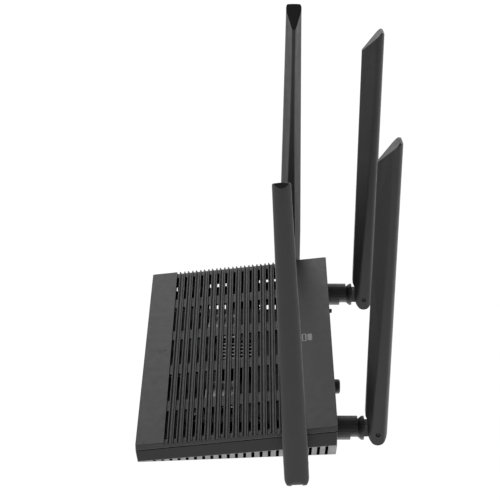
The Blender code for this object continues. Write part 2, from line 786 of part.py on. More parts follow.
def make_board(material):
    tongue = BOARD_TONGUE_WIDTH / 2
    tip = FRONT_Y + BOARD_TONGUE_FROM_FRONT
    outline = [
        (BOARD_LEFT_X, BOARD_REAR_Y), (BOARD_LEFT_X, BOARD_FRONT_Y),
        (-tongue, BOARD_FRONT_Y), (-tongue, tip), (tongue, tip), (tongue, BOARD_FRONT_Y),
        (BOARD_RIGHT_X, BOARD_FRONT_Y), (BOARD_RIGHT_X, BOARD_REAR_Y),
    ]
    board = to_object("circuit_board", prism(outline, "Z", BOARD_HEIGHT, BOARD_TOP), material)
    holes = []
    for x, y in post_places().values():
        hole = upright(rod(BOARD_SCREW_SHANK_RADIUS + SEAT_GAP, 0, FAR / 8, SMALL_ROUND))
        holes.append(placed(hole, (x, y, 0)))
    cut(board, merged(holes))


def make_board_screws(material):
    for name, (x, y) in post_places().items():
        top = BOARD_TOP + SEAT_GAP + BOARD_SCREW_HEAD_HEIGHT
        length = BOARD_SCREW_HEAD_HEIGHT + BOARD_SCREW_LENGTH
        make_screw(
            f"board_screw_{name}", x, y, top,
            (BOARD_SCREW_HEAD_RADIUS, BOARD_SCREW_HEAD_HEIGHT),
            (BOARD_SCREW_SHANK_RADIUS, length), material, -1,
        )


def socket_ceiling():
    return PART_BASE + SOCKET_BLOCK_HEIGHT - SOCKET_TOP_WALL


def make_socket_block(name, middle, count, material):
    """Modular sockets side by side in one housing, each open at the rear with a latch groove below."""
    width = count * SOCKET_PITCH
    front = socket_front()
    low = (middle - width / 2, front - SOCKET_BLOCK_DEPTH, PART_BASE)
    high = (middle + width / 2, front, PART_BASE + SOCKET_BLOCK_HEIGHT)
    block = to_object(name, box(low, high), material)
    wide = SOCKET_WIDTH / 2
    latch = SOCKET_LATCH_WIDTH / 2
    ceiling = socket_ceiling()
    ledge = ceiling - SOCKET_HEIGHT
    groove = ledge - SOCKET_LATCH_HEIGHT
    outline = [
        (-wide, ceiling), (-wide, ledge), (-latch, ledge), (-latch, groove),
        (latch, groove), (latch, ledge), (wide, ledge), (wide, ceiling),
    ]
    for number in range(count):
        x = middle + (number - (count - 1) / 2) * SOCKET_PITCH
        shifted = [(x + a, b) for a, b in outline]
        cut(block, prism(shifted, "Y", front - SOCKET_DEPTH, front + WALL))


def make_dc_jack(material):
    front = socket_front()
    low = (JACK_X - JACK_WIDTH / 2, front - JACK_DEPTH, PART_BASE)
    high = (JACK_X + JACK_WIDTH / 2, front, PART_BASE + JACK_HEIGHT)
    jack = to_object("dc_jack", box(low, high), material)
    height = PART_BASE + JACK_HEIGHT / 2
    depth = JACK_HOLE_DEPTH
    pin_end = JACK_PIN_LENGTH - JACK_HOLE_DEPTH
    profile = [
        (0, pin_end), (JACK_PIN_RADIUS, pin_end), (JACK_PIN_RADIUS, -depth),
        (JACK_HOLE_RADIUS, -depth), (JACK_HOLE_RADIUS, WALL), (0, WALL),
    ]
    hole = turned(profile, SMALL_ROUND)
    cut(jack, placed(hole, (JACK_X, front, height)))
    smooth(jack)


def make_push_button(name, x, radius, proud, travel, switch, material, switch_material):
    """A round cap in the rear wall with a flange behind it and a stem that enters its switch."""
    switch_width, switch_depth = switch
    flange_front = INNER_REAR_Y - SEAT_GAP
    flange_back = flange_front - FLANGE_THICKNESS
    stem = radius * STEM_RADIUS_SHARE
    soft = min(radius * 0.25, proud * 0.3)
    profile = [
        (0, flange_back - STEM_LENGTH), (stem, flange_back - STEM_LENGTH), (stem, flange_back),
        (radius + FLANGE_MARGIN, flange_back), (radius + FLANGE_MARGIN, flange_front),
        (radius, flange_front), (radius, REAR_Y + proud - soft),
        (radius - soft * 0.3, REAR_Y + proud - soft * 0.3), (radius - soft, REAR_Y + proud),
        (0, REAR_Y + proud),
    ]
    shape = turned([(r, y - REAR_Y) for r, y in profile], ROUND)
    button = to_object(name, shape, material)
    button.location = (x, REAR_Y, BUTTON_HEIGHT)
    smooth(button)
    front = flange_back - travel - SEAT_GAP
    low = (x - switch_width / 2, front - switch_depth, PART_BASE)
    high = (x + switch_width / 2, front, BUTTON_HEIGHT + switch_width / 2)
    body = to_object(name.replace("button", "switch"), box(low, high), switch_material)
    bore = rod(stem + TURN_GAP, front - STEM_LENGTH - travel, front + WALL, SMALL_ROUND)
    cut(body, placed(bore, (x, 0, BUTTON_HEIGHT)))


def make_light_pipe(material):
    y = FRONT_Y + LIGHT_FROM_FRONT
    foot = 0.0018
    low = BOARD_TOP + 0.0011
    high = top_height(y) - 0.0002
    profile = [
        (0, low), (foot, low), (foot, low + 0.0012), (LIGHT_RADIUS, low + 0.0012),
        (LIGHT_RADIUS, high), (0, high),
    ]
    pipe = to_object("status_light_pipe", upright(turned(profile, SMALL_ROUND)), material)
    pipe.location = (0, y, 0)
    smooth(pipe)


def make_light_chip(material):
    y = FRONT_Y + LIGHT_FROM_FRONT
    half = 0.0008
    chip = box((-half, y - half, PART_BASE), (half, y + half, PART_BASE + 0.0005))
    to_object("status_light_chip", chip, material)


def make_heat_sink(material):
    """A finned block over the processor."""
    base = PART_BASE + CHIP_HEIGHT + SEAT_GAP
    half = SINK_SIZE / 2
    spacing = (SINK_SIZE - FIN_THICKNESS) / (SINK_FINS - 1)
    outline = [(-half, base), (half, base)]
    for number in reversed(range(SINK_FINS)):
        left = -half + number * spacing
        right = left + FIN_THICKNESS
        outline += [(right, base + SINK_HEIGHT), (left, base + SINK_HEIGHT)]
        if number:
            floor = base + SINK_BASE
            outline += [(left, floor), (left - spacing + FIN_THICKNESS, floor)]
    sink = prism(outline, "Y", SINK_Y - half, SINK_Y + half)
    to_object("processor_heat_sink", sink, material)


def make_processor(material):
    half = CHIP_SIZE / 2
    top = PART_BASE + CHIP_HEIGHT
    chip = box((-half, SINK_Y - half, PART_BASE), (half, SINK_Y + half, top))
    to_object("processor_chip", chip, material)


def make_shield_can(name, x, material):
    """A thin metal lid, open below, over one radio."""
    y = BOARD_FRONT_Y + CAN_FROM_BOARD_FRONT
    half = Vector((CAN_WIDTH / 2, CAN_DEPTH / 2, 0))
    low = Vector((x, y, PART_BASE)) - half
    high = Vector((x, y, PART_BASE + CAN_HEIGHT)) + half
    can = to_object(name, bevelled_box(low, high, CAN_WALL), material)
    wall = Vector((CAN_WALL, CAN_WALL, 0)) * 2
    hollow = box(low + wall - Vector((0, 0, WALL)), high - wall - Vector((0, 0, 2 * CAN_WALL)))
    cut(can, hollow)


def make_capacitor(name, x, y, material):
    groove = 0.0003
    profile = [
        (0, 0), (CAPACITOR_RADIUS, 0), (CAPACITOR_RADIUS, 0.0016),
        (CAPACITOR_RADIUS - groove, 0.0020), (CAPACITOR_RADIUS, 0.0024),
        (CAPACITOR_RADIUS, CAPACITOR_HEIGHT - groove),
        (CAPACITOR_RADIUS - groove, CAPACITOR_HEIGHT), (0, CAPACITOR_HEIGHT),
    ]
    capacitor = to_object(name, upright(turned(profile, SMALL_ROUND)), material)
    capacitor.location = (x, y, PART_BASE)
    smooth(capacitor)


def make_transformer(name, x, material):
    half = Vector((TRANSFORMER_WIDTH / 2, TRANSFORMER_DEPTH / 2, 0))
    low = Vector((x, TRANSFORMER_Y, PART_BASE)) - half
    high = Vector((x, TRANSFORMER_Y, PART_BASE + TRANSFORMER_HEIGHT)) + half
    to_object(name, bevelled_box(low, high, 0.0004), material)


# ---------------------------------------------------------------- antennas

def blade_section(height):
    """Outline of a blade at a height: a broad outer face that narrows to a ridge on the inner side."""
    share = (height - BLADE_TAPER_START) / (BLADE_LENGTH - BLADE_TAPER_START)
    share = min(max(share, 0.0), 1.0)
    half = (BLADE_BASE_WIDTH + share * (BLADE_TIP_WIDTH - BLADE_BASE_WIDTH)) / 2
    ridge_share = min(1.6 * share, 1.0)
    ridge = BLADE_RIDGE_BASE + ridge_share * (BLADE_RIDGE_TIP - BLADE_RIDGE_BASE)
    flat = BLADE_FLAT_BASE + ridge_share * (BLADE_FLAT_TIP - BLADE_FLAT_BASE)
    edge = Vector((half, flat))
    brow = Vector((ridge + 0.0004, 0.0008 - BLADE_INNER))
    above = edge + Vector((0, BLADE_EDGE))
    below = edge + (brow - edge).normalized() * BLADE_EDGE
    right = []
    for reach in (0.3, 0.55, 0.75, 0.9, 0.97, 1.0):
        right.append((half * reach, BLADE_OUTER - BLADE_CROWN * (1 - math.sqrt(1 - reach * reach))))
    for number in range(5):
        share = number / 4
        turn = above.lerp(edge, share).lerp(edge.lerp(below, share), share)
        right.append((turn.x, turn.y))
    right += [
        (brow.x, brow.y),
        (ridge + 0.00005, 0.00025 - BLADE_INNER),
        (ridge - 0.0005, -BLADE_INNER),
    ]
    left = [(-x, y) for x, y in reversed(right)]
    return [(0.0, BLADE_OUTER)] + right + left


def blade_body():
    """Loft the sections upwards."""
    shape = bmesh.new()
    heights = [-0.012, BLADE_TAPER_START, 0.08, 0.13, 0.18, BLADE_LENGTH + 0.004]
    rings = []
    for height in heights:
        rings.append([shape.verts.new((x, y, height)) for x, y in blade_section(height)])
    for low, high in zip(rings, rings[1:]):
        for number in range(len(low)):
            after = (number + 1) % len(low)
            shape.faces.new((low[number], low[after], high[after], high[number]))
    shape.faces.new(rings[0])
    shape.faces.new(rings[-1])
    bmesh.ops.recalc_face_normals(shape, faces=shape.faces)
    return shape


def blade_side_view():
    """The blade's outline from the side: oval heel, stepped inner edge and slanted tip."""
    beyond = 0.0015
    outside = BLADE_OUTER + beyond
    inside = BLADE_INNER + beyond
    arc = []
    steps = ROUND // 2
    for number in range(steps + 1):
        angle = math.pi * number / steps
        arc.append((BLADE_OUTER * math.cos(angle), -BLADE_HEEL_REACH * math.sin(angle)))
    heel_rise = (BLADE_HEEL_HIGH - BLADE_HEEL_LOW) / (BLADE_INNER - BLADE_OUTER)
    apex = BLADE_OUTER - BLADE_TIP_CORNER * 0.85
    slant = BLADE_TIP_DROP / (apex + BLADE_INNER)
    outline = [(outside, 0.0001)] + arc
    outline += [
        (-BLADE_OUTER, BLADE_HEEL_LOW),
        (-inside, BLADE_HEEL_LOW + heel_rise * (inside - BLADE_OUTER)),
        (-inside, BLADE_LENGTH - slant * (apex + inside)),
        (apex, BLADE_LENGTH),
        (BLADE_OUTER - BLADE_TIP_CORNER * 0.4, BLADE_LENGTH - BLADE_TIP_CORNER * 0.25),
        (BLADE_OUTER - BLADE_TIP_CORNER * 0.08, BLADE_LENGTH - BLADE_TIP_CORNER * 0.8),
        (outside, BLADE_LENGTH - BLADE_TIP_CORNER * 2.2),
    ]
    return prism(outline, "X", -BLADE_BASE_WIDTH, BLADE_BASE_WIDTH)


def blade_front_view(heel_round):
    """The blade's outline from its outer side: round corners at the tip, and a heel round or left whole."""
    half = BLADE_TIP_WIDTH / 2
    wide = BLADE_BASE_WIDTH / 2 + SLOT_CLEARANCE
    heel_half = BLADE_BASE_WIDTH / 2 + SLOT_CLEARANCE / 4
    right = [(0.0, -BLADE_HEEL_REACH - WALL), (wide, -BLADE_HEEL_REACH - WALL)]
    if heel_round:
        right = []
        for number in range(9):
            angle = math.pi / 2 * number / 8
            rise = heel_round * (1 - math.cos(angle))
            right.append((heel_half * math.sin(angle), rise - BLADE_HEEL_REACH))
    centre = Vector((half - BLADE_TIP_ROUND, BLADE_LENGTH - BLADE_TIP_CROWN - BLADE_TIP_ROUND))
    right += [(wide, BLADE_TAPER_START + BLADE_HEEL_ROUND), (half + SLOT_CLEARANCE, centre.y)]
    for number in range(7):
        angle = math.pi / 2 * number / 6
        reach = Vector((math.cos(angle), math.sin(angle))) * BLADE_TIP_ROUND
        right.append(tuple(centre + reach))
    left = [(-x, z) for x, z in reversed(right[1:])]
    outline = right + [(0.0, BLADE_LENGTH + 0.0001)] + left
    return prism(outline, "Y", -BLADE_INNER * 2, BLADE_OUTER * 2)


def tongue_slot():
    """Room in the blade's base for the collar's tongue over the whole fold."""
    room = TONGUE_RADIUS + SLOT_CLEARANCE
    half = TONGUE_WIDTH / 2 + SEAT_GAP
    low = (-half, -BLADE_INNER - WALL, -BLADE_HEEL_REACH - WALL)
    return box(low, (half, room, room))


def make_blade_mesh(material, heel_round):
    blade = to_object("blade", blade_body(), material)
    combine(blade, blade_side_view(), "INTERSECT")
    combine(blade, blade_front_view(heel_round), "INTERSECT")
    channel = upright(rod(ELEMENT_CHANNEL_RADIUS, 0.0, ELEMENT_CHANNEL_TOP, 12))
    pin_hole = across(rod(PIN_RADIUS + TURN_GAP, -BLADE_BASE_WIDTH, BLADE_BASE_WIDTH, SMALL_ROUND))
    cut(blade, tongue_slot(), channel, pin_hole)
    smooth(blade, 28)
    return take_mesh(blade)


def take_mesh(made):
    mesh = made.data
    bpy.data.objects.remove(made)
    return mesh


def make_collar_mesh(material):
    """Spigot, flared rim, neck and tongue, with the fold pin at the origin and the case towards -Y."""
    spigot = BASE_BORE_RADIUS - TURN_GAP
    profile = [
        (0, -COLLAR_CONE_START - SPIGOT_LENGTH),
        (spigot - 0.0006, -COLLAR_CONE_START - SPIGOT_LENGTH),
        (spigot, -COLLAR_CONE_START - SPIGOT_LENGTH + 0.0006),
        (spigot, -COLLAR_CONE_START),
        (BASE_RADIUS, -COLLAR_RIM_START),
        (BASE_RADIUS, -COLLAR_RIM_END),
        (COLLAR_NECK_RADIUS, -COLLAR_RIM_END + 0.0002),
        (COLLAR_NECK_RADIUS, -COLLAR_NECK_END),
        (0, -COLLAR_NECK_END),
    ]
    collar = to_object("collar", turned(profile, ROUND), material)
    half = TONGUE_WIDTH / 2
    outline = [(-COLLAR_RIM_END, -TONGUE_RADIUS), (-COLLAR_RIM_END, TONGUE_RADIUS)]
    steps = 12
    for number in range(steps + 1):
        angle = math.pi / 2 - math.pi * number / steps
        outline.append((TONGUE_RADIUS * math.cos(angle), TONGUE_RADIUS * math.sin(angle)))
    join(collar, prism(outline, "X", -half, half))
    cut(collar, across(rod(PIN_RADIUS + TURN_GAP, -WALL * 3, WALL * 3, SMALL_ROUND)))
    smooth(collar)
    return take_mesh(collar)


def make_base_mesh(reach, insert, material):
    """The fixed barrel, with its seat on the case wall at y = 0 and its mouth outwards."""
    mouth = reach - BASE_END
    bore_end = reach - COLLAR_CONE_START - SPIGOT_LENGTH - SEAT_GAP
    flange_back = -insert - BASE_FLANGE
    profile = [
        (LEAD_HOLE_RADIUS, flange_back), (BASE_FLANGE_RADIUS, flange_back),
        (BASE_FLANGE_RADIUS, -insert), (BASE_RADIUS, -insert), (BASE_RADIUS, mouth),
        (BASE_BORE_RADIUS, mouth), (BASE_BORE_RADIUS, bore_end), (LEAD_HOLE_RADIUS, bore_end),
    ]
    base = to_object("base", turned(profile, ROUND, ring=True), material)
    wide = BASE_RADIUS + WALL
    cut(base, box((-wide, mouth - BASE_NOTCH, -wide), (wide, mouth + WALL, BASE_NOTCH_TOP)))
    smooth(base)
    return take_mesh(base)


def make_pin_mesh(material):
    half = BLADE_BASE_WIDTH / 2 - PIN_RECESS
    chamfer = 0.0002
    profile = [
        (0, -half), (PIN_RADIUS - chamfer, -half), (PIN_RADIUS, -half + chamfer),
        (PIN_RADIUS, half - chamfer), (PIN_RADIUS - chamfer, half), (0, half),
    ]
    pin = to_object("pin", across(turned(profile, SMALL_ROUND)), material)
    smooth(pin)
    return take_mesh(pin)


def make_element_mesh(material):
    """The radiating rod and sleeve inside a blade."""
    foot = TONGUE_RADIUS + SLOT_CLEARANCE + 0.001
    sleeve_top = foot + ELEMENT_SLEEVE_LENGTH
    top = ELEMENT_CHANNEL_TOP - 0.001
    profile = [
        (0, foot), (ELEMENT_SLEEVE_RADIUS, foot), (ELEMENT_SLEEVE_RADIUS, sleeve_top),
        (ELEMENT_ROD_RADIUS, sleeve_top), (ELEMENT_ROD_RADIUS, top), (0, top),
    ]
    element = to_object("element", upright(turned(profile, 12)), material)
    smooth(element)
    return take_mesh(element)


def place_mesh(name, mesh, parent, where):
    made = bpy.data.objects.new(name, mesh)
    bpy.context.scene.collection.objects.link(made)
    made.parent = parent
    made.location = where
    return made


def guide(name, where, turn, parent=None):
    """An empty that stands on a joint's axis."""
    made = bpy.data.objects.new(name, None)
    bpy.context.scene.collection.objects.link(made)
    made.parent = parent
    made.location = where
    made.rotation_euler = turn
    return made


def make_antennas(shell, dark, metal, brass):
    rear_blade = make_blade_mesh(shell, 0.0)
    side_blade = make_blade_mesh(shell, BLADE_HEEL_ROUND)
    collar = make_collar_mesh(dark)
    pin = make_pin_mesh(metal)
    element = make_element_mesh(brass)
    for name, (where, degrees, reach, insert) in hinge_places().items():
        base = make_base_mesh(reach, insert, dark)
        base.name = f"antenna_base_{name}"
        seat = guide(f"seat_{name}", where, (0, 0, math.radians(degrees)))
        place_mesh(f"antenna_base_{name}", base, seat, (0, 0, 0))
        lean = -SIDE_RIGHT_LEAN if name == "side_right" else 0.0
        swivel = guide(f"swivel_{name}", (0, 0, 0), (0, math.radians(-lean), 0), seat)
        fold = guide(f"fold_{name}", (0, reach, 0), (0, 0, 0), swivel)
        place_mesh(f"antenna_collar_{name}", collar, fold, (0, 0, 0))
        blade = side_blade if name.startswith("side") else rear_blade
        place_mesh(f"antenna_blade_{name}", blade, fold, (0, 0, 0))
        place_mesh(f"antenna_pin_{name}", pin, fold, (0, 0, 0))
        place_mesh(f"antenna_element_{name}", element, fold, (0, 0, 0))


def smooth_route(points, count):
    """Points evenly spaced by parameter on a Bezier curve with the given control points."""
    route = []
    order = len(points) - 1
    for number in range(count):
        t = number / (count - 1)
        where = Vector((0, 0, 0))
        for place, point in enumerate(points):
            weight = math.comb(order, place) * t ** place * (1 - t) ** (order - place)
            where += Vector(point) * weight
        route.append(where)
    return route


def make_lead(name, controls, material):
    """A coaxial lead from a hinge to the board's edge."""
    curve = bpy.data.curves.new(name, "CURVE")
    curve.dimensions = "3D"
    curve.bevel_depth = LEAD_RADIUS
    curve.bevel_resolution = 2
    curve.use_fill_caps = True
    line = curve.splines.new("POLY")
    route = smooth_route(controls, LEAD_POINTS)
    line.points.add(len(route) - 1)
    for point, where in zip(line.points, route):
        point.co = (*where, 1.0)
    curve.materials.append(material)
    made = bpy.data.objects.new(name, curve)
    bpy.context.scene.collection.objects.link(made)


def make_leads(material):
    rest = BOARD_TOP + LEAD_RADIUS + SEAT_GAP
    for name, (where, degrees, reach, insert) in hinge_places().items():
        inward = hinge_turn(degrees) @ Vector((0, -1, 0))
        start = Vector(where) + inward * (insert + BASE_FLANGE + SEAT_GAP)
        if name.endswith("right"):
            side, edge = 1, BOARD_RIGHT_X
        else:
            side, edge = -1, BOARD_LEFT_X
        back = REAR_LEAD_BACK if name.startswith("rear") else SIDE_LEAD_BACK
        plug = Vector((edge - side * LEAD_ON_BOARD, INNER_REAR_Y - back, rest))
        bend = start + inward * LEAD_STRAIGHT
        lift = Vector((edge + side * LEAD_OFF_BOARD, plug.y, rest + LEAD_RISE))
        flat = plug + Vector((side * LEAD_FLAT, 0, 0))
        make_lead(f"antenna_lead_{name}", [start, bend, lift, flat, plug], material)


def build():
    clear_scene()
    cover_black = plastic("cover_black", (0.060, 0.060, 0.062), 0.55)
    case_black = plastic("case_black", (0.035, 0.035, 0.036), 0.6)
    antenna_black = plastic("antenna_black", (0.040, 0.040, 0.042), 0.5)
    hinge_black = plastic("hinge_black", (0.016, 0.016, 0.017), 0.5)
    rubber = plastic("foot_rubber", (0.02, 0.02, 0.02), 0.85)
    steel = plastic("screw_steel", (0.35, 0.35, 0.36), 0.35, 1.0)
    brass = plastic("element_brass", (0.60, 0.45, 0.18), 0.35, 1.0)
    board_green = plastic("board_green", (0.02, 0.10, 0.05), 0.4)
    chip_black = plastic("chip_black", (0.02, 0.02, 0.02), 0.45)
    tinned = plastic("shield_tinned", (0.55, 0.56, 0.57), 0.3, 1.0)
    aluminium = plastic("sink_aluminium", (0.50, 0.51, 0.52), 0.4, 1.0)
    socket_black = plastic("socket_black", (0.018, 0.018, 0.02), 0.45)
    clear = plastic("light_clear", (0.75, 0.78, 0.80), 0.2)

    make_top_cover(cover_black)
    make_bottom_case(case_black)
    make_feet(rubber)
    make_case_screws(steel)
    make_board(board_green)
    make_board_screws(steel)
    make_socket_block("lan_socket_block", LAN_BLOCK_X, LAN_SOCKETS, socket_black)
    make_socket_block("wan_socket", WAN_BLOCK_X, 1, socket_black)
    make_dc_jack(socket_black)
    make_push_button(
        "power_button", POWER_X, POWER_RADIUS, POWER_PROUD, POWER_TRAVEL,
        (POWER_SWITCH_WIDTH, POWER_SWITCH_DEPTH), hinge_black, socket_black,
    )
    make_push_button(
        "setup_button", SETUP_X, SETUP_RADIUS, SETUP_PROUD, SETUP_TRAVEL,
        (SETUP_SWITCH_WIDTH, SETUP_SWITCH_DEPTH), hinge_black, socket_black,
    )
    make_light_pipe(clear)
    make_light_chip(clear)
    make_processor(chip_black)
    make_heat_sink(aluminium)
    make_shield_can("radio_shield_left", -CAN_FROM_MIDDLE, tinned)
    make_shield_can("radio_shield_right", CAN_FROM_MIDDLE, tinned)
    behind_jack = socket_front() - JACK_DEPTH - CAPACITOR_BEHIND_JACK - CAPACITOR_RADIUS
    make_capacitor("filter_capacitor_rear", JACK_X, behind_jack, chip_black)
    make_capacitor(
        "filter_capacitor_front", JACK_X - CAPACITOR_STEP_X, behind_jack - CAPACITOR_STEP_Y,
        chip_black,
    )
    make_transformer("line_transformer_left", LAN_BLOCK_X - SOCKET_PITCH, chip_black)
    make_transformer("line_transformer_right", LAN_BLOCK_X + SOCKET_PITCH, chip_black)
    make_antennas(antenna_black, hinge_black, steel, brass)
    make_leads(socket_black)


build()
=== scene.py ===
"""Finishes, small trim, floor, light and camera for the four-antenna router."""

import json
import math

import bmesh
import bpy
from mathutils import Matrix, Vector


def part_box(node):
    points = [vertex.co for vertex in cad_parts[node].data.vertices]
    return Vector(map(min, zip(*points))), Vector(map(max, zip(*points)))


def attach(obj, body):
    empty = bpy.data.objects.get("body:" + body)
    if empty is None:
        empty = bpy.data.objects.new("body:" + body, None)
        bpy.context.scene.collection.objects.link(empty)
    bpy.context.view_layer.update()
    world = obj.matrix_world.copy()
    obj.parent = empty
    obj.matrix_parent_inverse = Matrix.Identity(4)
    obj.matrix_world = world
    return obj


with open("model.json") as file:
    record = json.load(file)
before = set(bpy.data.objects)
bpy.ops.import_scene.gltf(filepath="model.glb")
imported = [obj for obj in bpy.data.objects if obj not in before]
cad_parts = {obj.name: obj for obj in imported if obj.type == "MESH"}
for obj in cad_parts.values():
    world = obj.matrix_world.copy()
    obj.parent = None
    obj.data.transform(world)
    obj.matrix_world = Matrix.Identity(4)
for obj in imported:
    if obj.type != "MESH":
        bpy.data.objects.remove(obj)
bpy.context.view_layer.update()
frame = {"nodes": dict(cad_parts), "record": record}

MM = 0.001

# Printing on the cover
PRINT_HEIGHT = 0.05 * MM
EMBLEM_FROM_FRONT = 123.5 * MM
OPEN_LOZENGE_Y = -2.1 * MM
OPEN_LOZENGE_SIZE = (10 * MM, 3.7 * MM)
OPEN_LOZENGE_RADIUS = 0.9 * MM
OPEN_LOZENGE_WALL = 1.0 * MM
SOLID_LOZENGE_Y = 2.2 * MM
SOLID_LOZENGE_SIZE = (9 * MM, 3.4 * MM)
SOLID_LOZENGE_RADIUS = 1.1 * MM
LIGHT_MARK_FROM_FRONT = 12.0 * MM
LIGHT_MARK_SIZE = 2.6 * MM
LIGHT_MARK_RADIUS = 1.25 * MM
LIGHT_MARK_WALL = 0.5 * MM

# Socket contacts. The path runs from the mouth inwards: depth, then drop from the ceiling
CONTACTS = 8
CONTACT_PITCH = 1.02 * MM
CONTACT_WIDTH = 0.42 * MM
CONTACT_THICKNESS = 0.22 * MM
CONTACT_INTO_CEILING = 0.06 * MM
CONTACT_PATH = (
    (2.0 * MM, 0.15 * MM), (3.2 * MM, 0.45 * MM), (8.5 * MM, 2.3 * MM),
    (10.0 * MM, 2.5 * MM), (11.5 * MM, 2.1 * MM),
)

# Camera
CAMERA_PLACE = (1.02346, -0.00728, 0.71510)
CAMERA_TURN = (59.3847, -0.1477, 90.2074)
CAMERA_LENS = 116.476
SENSOR = 36.0

# Floor and lights
FLOOR_HALF = 6.0
FLOOR_GLOW = 1.0
WORLD_GLOW = 0.22
BACKDROP_PLACE = (-1.7, 0.0, 0.95)
BACKDROP_AIM = (0, 0, 0.35)
BACKDROP_SIZE = (3.4, 1.7)
BACKDROP_POWER = 24
LIGHT_TABLE_PLACE = (0.0, -0.0185, 0.0012)
LIGHT_TABLE_AIM = (0, -0.0185, 1)
LIGHT_TABLE_SIZE = (0.27, 0.20)
LIGHT_TABLE_POWER = 0.055
LIGHT_TABLE_SPREAD = 70

# The cover's slope
COVER_LOW, COVER_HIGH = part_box("top_cover")
FRONT_Y = COVER_LOW.y
FRONT_TOP = 17.4 * MM
TOP_SLOPE = (COVER_HIGH.z - FRONT_TOP) / (COVER_HIGH.y - FRONT_Y)
TOP_TILT = Matrix.Rotation(math.atan(TOP_SLOPE), 4, "X")

ANTENNAS = ("rear_left", "rear_right", "side_left", "side_right")


def top_height(y):
    """Height of the sloped cover at y."""
    return FRONT_TOP + (y - FRONT_Y) * TOP_SLOPE


# ------------------------------------------------------------------ materials

GRAIN = 2600
# How much lighter the painted edge highlight makes the colour
EDGE_HIGHLIGHT = 1.8


class Recipe:
    """A small helper that adds nodes to one material and links them."""

    def __init__(self, name):
        self.material = bpy.data.materials.new(name)
        self.material.use_nodes = True
        self.tree = self.material.node_tree
        self.shader = self.tree.nodes["Principled BSDF"]
        place = self.add("ShaderNodeTexCoord")
        self.place = place.outputs["Object"]

    def add(self, kind, **settings):
        node = self.tree.nodes.new(kind)
        for name, value in settings.items():
            setattr(node, name, value)
        return node

    def link(self, source, target):
        self.tree.links.new(source, target)

    def noise(self, scale, detail=2.0, roughness=0.5, stretch=None):
        """Noise on object coordinates. scale counts features per metre."""
        node = self.add("ShaderNodeTexNoise")
        node.inputs["Scale"].default_value = scale
        node.inputs["Detail"].default_value = detail
        node.inputs["Roughness"].default_value = roughness
        if stretch is None:
            self.link(self.place, node.inputs["Vector"])
        else:
            mapping = self.add("ShaderNodeMapping")
            mapping.inputs["Scale"].default_value = stretch
            self.link(self.place, mapping.inputs["Vector"])
            self.link(mapping.outputs["Vector"], node.inputs["Vector"])
        return node.outputs["Fac"]

    def ranged(self, source, low, high, start=0.0, end=1.0):
        """Map a value from start..end to low..high."""
        node = self.add("ShaderNodeMapRange")
        node.inputs["From Min"].default_value = start
        node.inputs["From Max"].default_value = end
        node.inputs["To Min"].default_value = low
        node.inputs["To Max"].default_value = high
        self.link(source, node.inputs["Value"])
        return node.outputs["Result"]

    def maths(self, operation, first, second):
        node = self.add("ShaderNodeMath", operation=operation)
        for socket, value in zip(node.inputs, (first, second)):
            if isinstance(value, (int, float)):
                socket.default_value = value
            else:
                self.link(value, socket)
        return node.outputs["Value"]

    def mixed(self, share, first, second):
        """Mix two colours. Each is three numbers or a socket."""
        node = self.add("ShaderNodeMix", data_type="RGBA")
        self.link(share, node.inputs["Factor"])
        for socket, value in ((node.inputs["A"], first), (node.inputs["B"], second)):
            pick = [s for s in node.inputs if s.name == socket.name and s.type == "RGBA"][0]
            if isinstance(value, tuple):
                pick.default_value = (*value, 1.0)
            else:
                self.link(value, pick)
        return [s for s in node.outputs if s.type == "RGBA"][0]

    def soft_edges(self, radius):
        """Normals that turn over each edge as a moulding's small radius does."""
        soft = self.add("ShaderNodeBevel", samples=6)
        soft.inputs["Radius"].default_value = radius
        return soft.outputs["Normal"]

    def edge_share(self, soft, gain):
        """How far a point lies on an edge, from 0 on a flat face to 1 on a sharp corner; it
        places the painted edge highlight.
        """
        true = self.add("ShaderNodeNewGeometry")
        dot = self.add("ShaderNodeVectorMath", operation="DOT_PRODUCT")
        self.link(soft, dot.inputs[0])
        self.link(true.outputs["Normal"], dot.inputs[1])
        bend = self.maths("SUBTRACT", 1.0, dot.outputs["Value"])
        scaled = self.maths("MULTIPLY", bend, gain)
        return self.maths("MINIMUM", scaled, 1.0)

    def bump(self, height, distance, strength, below=None):
        node = self.add("ShaderNodeBump")
        node.inputs["Distance"].default_value = distance
        node.inputs["Strength"].default_value = strength
        self.link(height, node.inputs["Height"])
        if below is not None:
            self.link(below, node.inputs["Normal"])
        return node.outputs["Normal"]

    def finish(self, colour=None, roughness=None, normal=None):
        if colour is not None:
            self.link(colour, self.shader.inputs["Base Color"])
        if roughness is not None:
            self.link(roughness, self.shader.inputs["Roughness"])
        if normal is not None:
            self.link(normal, self.shader.inputs["Normal"])
        return self.material


def moulded(name, colour, roughness, depth=0.000035, specular=0.5, radius=0.0004):
    """Moulded plastic: fine eroded grain, faint mottling, and a painted highlight that makes
    the edges a little lighter.
    """
    made = Recipe(name)
    made.shader.inputs["Specular IOR Level"].default_value = specular
    mottle = made.noise(28, 3.0, 0.55)
    fine = made.noise(GRAIN, 2.0, 0.6)
    handling_and_highlight_noise = made.noise(160, 4.0, 0.6)
    dark = tuple(c * 0.90 for c in colour)
    light = tuple(c * 1.10 for c in colour)
    # Painted highlight: a lighter colour laid on the edges, where the light catches a
    # moulding's small radius
    edge_highlight_colour = tuple(min(c * EDGE_HIGHLIGHT + 0.004, 1.0) for c in colour)
    base = made.mixed(mottle, dark, light)
    soft = made.soft_edges(radius)
    edge = made.edge_share(soft, 3.0)
    # Share of the painted edge highlight, broken up by noise; it also lowers the roughness on
    # the edges
    edge_highlight_share = made.maths("MULTIPLY", edge, made.ranged(handling_and_highlight_noise, 0.35, 1.0, 0.35, 0.65))
    base = made.mixed(edge_highlight_share, base, edge_highlight_colour)
    rough = made.ranged(handling_and_highlight_noise, roughness - 0.05, roughness + 0.05, 0.3, 0.7)
    rough = made.maths("SUBTRACT", rough, made.maths("MULTIPLY", edge_highlight_share, 0.12))
    return made.finish(base, rough, made.bump(fine, depth, 0.5, soft))


